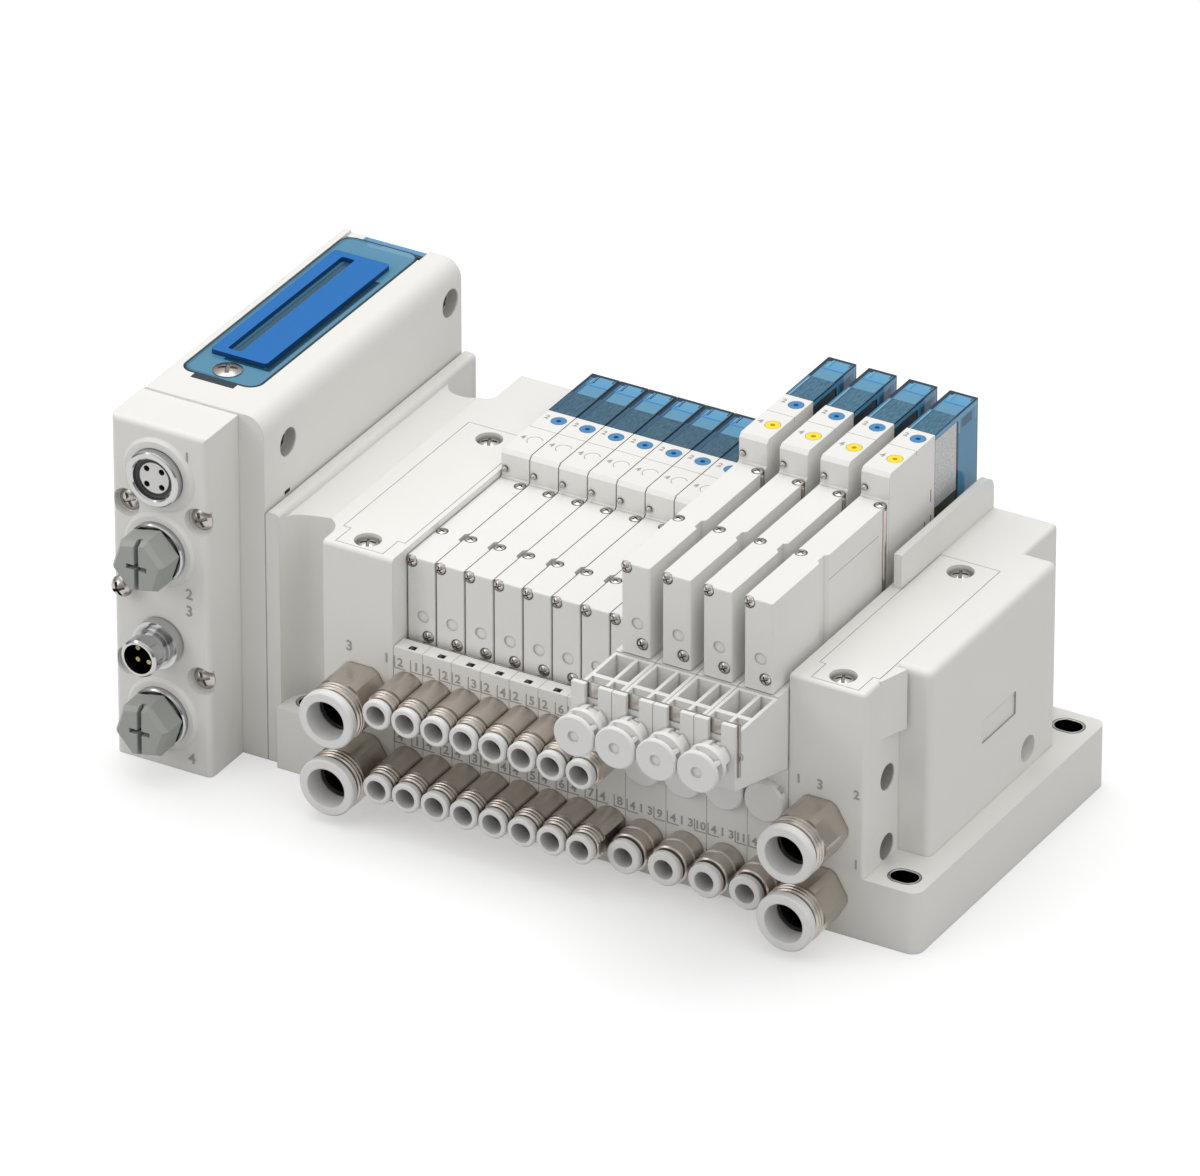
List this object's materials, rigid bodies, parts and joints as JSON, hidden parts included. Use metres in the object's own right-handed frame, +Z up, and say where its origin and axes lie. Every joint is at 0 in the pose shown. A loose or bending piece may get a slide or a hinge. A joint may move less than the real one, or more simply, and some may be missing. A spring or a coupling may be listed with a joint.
{
  "type": "pneumatic valve island",
  "caption": "Valve island: a row of plug-in valves on push-in tube ports between two end blocks, with an electronics module carrying round connectors and a hinged window.",
  "frame": {"origin": "centre of the four mounting slots, on the underside of the feet", "axes": "+X along the row of stations towards the right end block, +Y from the tube ports to the rear, +Z up"},
  "size_m": [0.1742, 0.1053, 0.0774],
  "materials": {
    "end_block": "fine-grained moulded",
    "end_cover": "fine-grained moulded",
    "base_block": "fine-grained moulded",
    "module": "fine-grained moulded",
    "valve": "smooth moulded",
    "pilot": "smooth moulded",
    "spacer": "smooth moulded",
    "plug": "smooth moulded",
    "rear_cover": "clear tinted",
    "window": "clear tinted",
    "label": "satin",
    "coil": "brushed",
    "fitting": "nickel plated",
    "collar": "smooth moulded",
    "override_blue": "smooth",
    "override_yellow": "smooth",
    "screw": "machined",
    "connector_shell": "plated",
    "connector_insert": "smooth",
    "seal_cap": "smooth"
  },
  "bodies": {
    "island": {"module_case": "module", "module_front": "module", "connector_shells": "connector_shell", "connector_inserts": "connector_insert", "seal_caps": "seal_cap", "end_block_left": "end_block", "end_block_right": "end_block", "end_covers": "end_cover", "manifold_blocks": "base_block", "valve_bodies": "valve", "pilot_housings": "pilot", "rear_covers": "rear_cover", "coils": "coil", "spacers": "spacer", "port_plugs": "plug", "fitting_bodies": "fitting", "screws": "screw"},
    "window_lid": {"window": "window", "label_plate": "label", "window_screw": "screw"},
    "collar_large_1_ring": {"collar_large_1": "collar"},
    "collar_large_2_ring": {"collar_large_2": "collar"},
    "collar_large_3_ring": {"collar_large_3": "collar"},
    "collar_large_4_ring": {"collar_large_4": "collar"},
    "collar_lower_1_ring": {"collar_lower_1": "collar"},
    "collar_lower_2_ring": {"collar_lower_2": "collar"},
    "collar_lower_3_ring": {"collar_lower_3": "collar"},
    "collar_lower_4_ring": {"collar_lower_4": "collar"},
    "collar_lower_5_ring": {"collar_lower_5": "collar"},
    "collar_lower_6_ring": {"collar_lower_6": "collar"},
    "collar_lower_7_ring": {"collar_lower_7": "collar"},
    "collar_lower_8_ring": {"collar_lower_8": "collar"},
    "collar_upper_1_ring": {"collar_upper_1": "collar"},
    "collar_upper_2_ring": {"collar_upper_2": "collar"},
    "collar_upper_3_ring": {"collar_upper_3": "collar"},
    "collar_upper_4_ring": {"collar_upper_4": "collar"},
    "collar_upper_5_ring": {"collar_upper_5": "collar"},
    "collar_upper_6_ring": {"collar_upper_6": "collar"},
    "collar_upper_7_ring": {"collar_upper_7": "collar"},
    "collar_upper_8_ring": {"collar_upper_8": "collar"},
    "collar_wide_1_ring": {"collar_wide_1": "collar"},
    "collar_wide_2_ring": {"collar_wide_2": "collar"},
    "collar_wide_3_ring": {"collar_wide_3": "collar"},
    "collar_wide_4_ring": {"collar_wide_4": "collar"},
    "override_a_01_button": {"override_a_01": "override_blue"},
    "override_a_02_button": {"override_a_02": "override_blue"},
    "override_a_03_button": {"override_a_03": "override_blue"},
    "override_a_04_button": {"override_a_04": "override_blue"},
    "override_a_05_button": {"override_a_05": "override_blue"},
    "override_a_06_button": {"override_a_06": "override_blue"},
    "override_a_07_button": {"override_a_07": "override_blue"},
    "override_a_08_button": {"override_a_08": "override_blue"},
    "override_a_09_button": {"override_a_09": "override_blue"},
    "override_a_10_button": {"override_a_10": "override_blue"},
    "override_a_11_button": {"override_a_11": "override_blue"},
    "override_a_12_button": {"override_a_12": "override_blue"},
    "override_b_09_button": {"override_b_09": "override_yellow"},
    "override_b_10_button": {"override_b_10": "override_yellow"},
    "override_b_11_button": {"override_b_11": "override_yellow"},
    "override_b_12_button": {"override_b_12": "override_yellow"}
  },
  "joints": [
    {"name": "window_hinge", "type": "hinge", "parent": "island", "child": "window_lid", "pos_m": [0, 0.0379, 0.075], "axis": [-1, 0, 0], "range_deg": [0, 100]},
    {"name": "collar_large_1_press", "type": "slide", "parent": "island", "child": "collar_large_1_ring", "axis": [0, 1, 0], "range_m": [0, 0.0008], "stiffness_N_per_m": 1000},
    {"name": "collar_large_2_press", "type": "slide", "parent": "island", "child": "collar_large_2_ring", "axis": [0, 1, 0], "range_m": [0, 0.0008], "stiffness_N_per_m": 1000},
    {"name": "collar_large_3_press", "type": "slide", "parent": "island", "child": "collar_large_3_ring", "axis": [0, 1, 0], "range_m": [0, 0.0008], "stiffness_N_per_m": 1000},
    {"name": "collar_large_4_press", "type": "slide", "parent": "island", "child": "collar_large_4_ring", "axis": [0, 1, 0], "range_m": [0, 0.0008], "stiffness_N_per_m": 1000},
    {"name": "collar_lower_1_press", "type": "slide", "parent": "island", "child": "collar_lower_1_ring", "axis": [0, 1, 0], "range_m": [0, 0.0005], "stiffness_N_per_m": 600},
    {"name": "collar_lower_2_press", "type": "slide", "parent": "island", "child": "collar_lower_2_ring", "axis": [0, 1, 0], "range_m": [0, 0.0005], "stiffness_N_per_m": 600},
    {"name": "collar_lower_3_press", "type": "slide", "parent": "island", "child": "collar_lower_3_ring", "axis": [0, 1, 0], "range_m": [0, 0.0005], "stiffness_N_per_m": 600},
    {"name": "collar_lower_4_press", "type": "slide", "parent": "island", "child": "collar_lower_4_ring", "axis": [0, 1, 0], "range_m": [0, 0.0005], "stiffness_N_per_m": 600},
    {"name": "collar_lower_5_press", "type": "slide", "parent": "island", "child": "collar_lower_5_ring", "axis": [0, 1, 0], "range_m": [0, 0.0005], "stiffness_N_per_m": 600},
    {"name": "collar_lower_6_press", "type": "slide", "parent": "island", "child": "collar_lower_6_ring", "axis": [0, 1, 0], "range_m": [0, 0.0005], "stiffness_N_per_m": 600},
    {"name": "collar_lower_7_press", "type": "slide", "parent": "island", "child": "collar_lower_7_ring", "axis": [0, 1, 0], "range_m": [0, 0.0005], "stiffness_N_per_m": 600},
    {"name": "collar_lower_8_press", "type": "slide", "parent": "island", "child": "collar_lower_8_ring", "axis": [0, 1, 0], "range_m": [0, 0.0005], "stiffness_N_per_m": 600},
    {"name": "collar_upper_1_press", "type": "slide", "parent": "island", "child": "collar_upper_1_ring", "axis": [0, 1, 0], "range_m": [0, 0.0005], "stiffness_N_per_m": 600},
    {"name": "collar_upper_2_press", "type": "slide", "parent": "island", "child": "collar_upper_2_ring", "axis": [0, 1, 0], "range_m": [0, 0.0005], "stiffness_N_per_m": 600},
    {"name": "collar_upper_3_press", "type": "slide", "parent": "island", "child": "collar_upper_3_ring", "axis": [0, 1, 0], "range_m": [0, 0.0005], "stiffness_N_per_m": 600},
    {"name": "collar_upper_4_press", "type": "slide", "parent": "island", "child": "collar_upper_4_ring", "axis": [0, 1, 0], "range_m": [0, 0.0005], "stiffness_N_per_m": 600},
    {"name": "collar_upper_5_press", "type": "slide", "parent": "island", "child": "collar_upper_5_ring", "axis": [0, 1, 0], "range_m": [0, 0.0005], "stiffness_N_per_m": 600},
    {"name": "collar_upper_6_press", "type": "slide", "parent": "island", "child": "collar_upper_6_ring", "axis": [0, 1, 0], "range_m": [0, 0.0005], "stiffness_N_per_m": 600},
    {"name": "collar_upper_7_press", "type": "slide", "parent": "island", "child": "collar_upper_7_ring", "axis": [0, 1, 0], "range_m": [0, 0.0005], "stiffness_N_per_m": 600},
    {"name": "collar_upper_8_press", "type": "slide", "parent": "island", "child": "collar_upper_8_ring", "axis": [0, 1, 0], "range_m": [0, 0.0005], "stiffness_N_per_m": 600},
    {"name": "collar_wide_1_press", "type": "slide", "parent": "island", "child": "collar_wide_1_ring", "axis": [0, 1, 0], "range_m": [0, 0.0005], "stiffness_N_per_m": 600},
    {"name": "collar_wide_2_press", "type": "slide", "parent": "island", "child": "collar_wide_2_ring", "axis": [0, 1, 0], "range_m": [0, 0.0005], "stiffness_N_per_m": 600},
    {"name": "collar_wide_3_press", "type": "slide", "parent": "island", "child": "collar_wide_3_ring", "axis": [0, 1, 0], "range_m": [0, 0.0005], "stiffness_N_per_m": 600},
    {"name": "collar_wide_4_press", "type": "slide", "parent": "island", "child": "collar_wide_4_ring", "axis": [0, 1, 0], "range_m": [0, 0.0005], "stiffness_N_per_m": 600},
    {"name": "override_a_01_press", "type": "slide", "parent": "island", "child": "override_a_01_button", "axis": [0, 0, -1], "range_m": [0, 0.0008], "stiffness_N_per_m": 800},
    {"name": "override_a_02_press", "type": "slide", "parent": "island", "child": "override_a_02_button", "axis": [0, 0, -1], "range_m": [0, 0.0008], "stiffness_N_per_m": 800},
    {"name": "override_a_03_press", "type": "slide", "parent": "island", "child": "override_a_03_button", "axis": [0, 0, -1], "range_m": [0, 0.0008], "stiffness_N_per_m": 800},
    {"name": "override_a_04_press", "type": "slide", "parent": "island", "child": "override_a_04_button", "axis": [0, 0, -1], "range_m": [0, 0.0008], "stiffness_N_per_m": 800},
    {"name": "override_a_05_press", "type": "slide", "parent": "island", "child": "override_a_05_button", "axis": [0, 0, -1], "range_m": [0, 0.0008], "stiffness_N_per_m": 800},
    {"name": "override_a_06_press", "type": "slide", "parent": "island", "child": "override_a_06_button", "axis": [0, 0, -1], "range_m": [0, 0.0008], "stiffness_N_per_m": 800},
    {"name": "override_a_07_press", "type": "slide", "parent": "island", "child": "override_a_07_button", "axis": [0, 0, -1], "range_m": [0, 0.0008], "stiffness_N_per_m": 800},
    {"name": "override_a_08_press", "type": "slide", "parent": "island", "child": "override_a_08_button", "axis": [0, 0, -1], "range_m": [0, 0.0008], "stiffness_N_per_m": 800},
    {"name": "override_a_09_press", "type": "slide", "parent": "island", "child": "override_a_09_button", "axis": [0, 0, -1], "range_m": [0, 0.0008], "stiffness_N_per_m": 800},
    {"name": "override_a_10_press", "type": "slide", "parent": "island", "child": "override_a_10_button", "axis": [0, 0, -1], "range_m": [0, 0.0008], "stiffness_N_per_m": 800},
    {"name": "override_a_11_press", "type": "slide", "parent": "island", "child": "override_a_11_button", "axis": [0, 0, -1], "range_m": [0, 0.0008], "stiffness_N_per_m": 800},
    {"name": "override_a_12_press", "type": "slide", "parent": "island", "child": "override_a_12_button", "axis": [0, 0, -1], "range_m": [0, 0.0008], "stiffness_N_per_m": 800},
    {"name": "override_b_09_press", "type": "slide", "parent": "island", "child": "override_b_09_button", "axis": [0, 0, -1], "range_m": [0, 0.0008], "stiffness_N_per_m": 800},
    {"name": "override_b_10_press", "type": "slide", "parent": "island", "child": "override_b_10_button", "axis": [0, 0, -1], "range_m": [0, 0.0008], "stiffness_N_per_m": 800},
    {"name": "override_b_11_press", "type": "slide", "parent": "island", "child": "override_b_11_button", "axis": [0, 0, -1], "range_m": [0, 0.0008], "stiffness_N_per_m": 800},
    {"name": "override_b_12_press", "type": "slide", "parent": "island", "child": "override_b_12_button", "axis": [0, 0, -1], "range_m": [0, 0.0008], "stiffness_N_per_m": 800}
  ]
}
